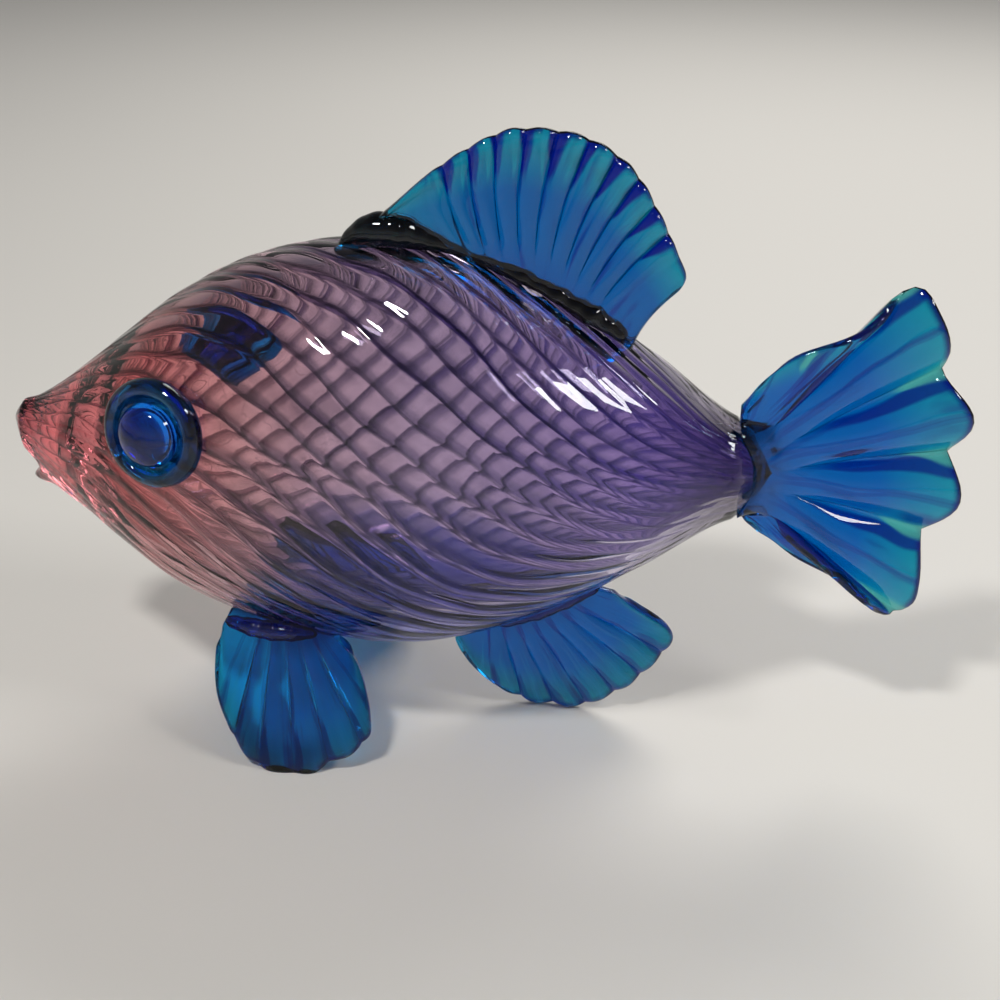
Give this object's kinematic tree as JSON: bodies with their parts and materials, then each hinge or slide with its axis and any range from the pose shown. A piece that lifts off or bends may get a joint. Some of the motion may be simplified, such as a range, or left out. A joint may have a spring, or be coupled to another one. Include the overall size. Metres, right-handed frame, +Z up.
{
  "type": "fish figurine",
  "caption": "Hollow blown-glass fish ornament with a ribbed see-through body and fan fins; it stands on its pectoral and anal fins.",
  "frame": {"origin": "on the floor, under the middle of the whole fish", "axes": "-X towards the snout, +X towards the tail, -Y the fish's left side, +Z up"},
  "size_m": [0.235, 0.079, 0.1545],
  "materials": {
    "body_glass": "glossy, rose at the head, mauve in the middle and violet at the tail",
    "fin_glass": "glossy transparent blue, teal where it is thin",
    "eye_glass": "glossy teal-blue",
    "pupil_glass": "glossy cobalt blue"
  },
  "bodies": {
    "root": {"body_shell": "body_glass", "dorsal_fin": "fin_glass", "tail_fin": "fin_glass", "left_pectoral_fin": "fin_glass", "right_pectoral_fin": "fin_glass", "anal_fin": "fin_glass", "left_eye_pad": "eye_glass", "right_eye_pad": "eye_glass", "left_eye_pupil": "pupil_glass", "right_eye_pupil": "pupil_glass"}
  },
  "joints": []
}
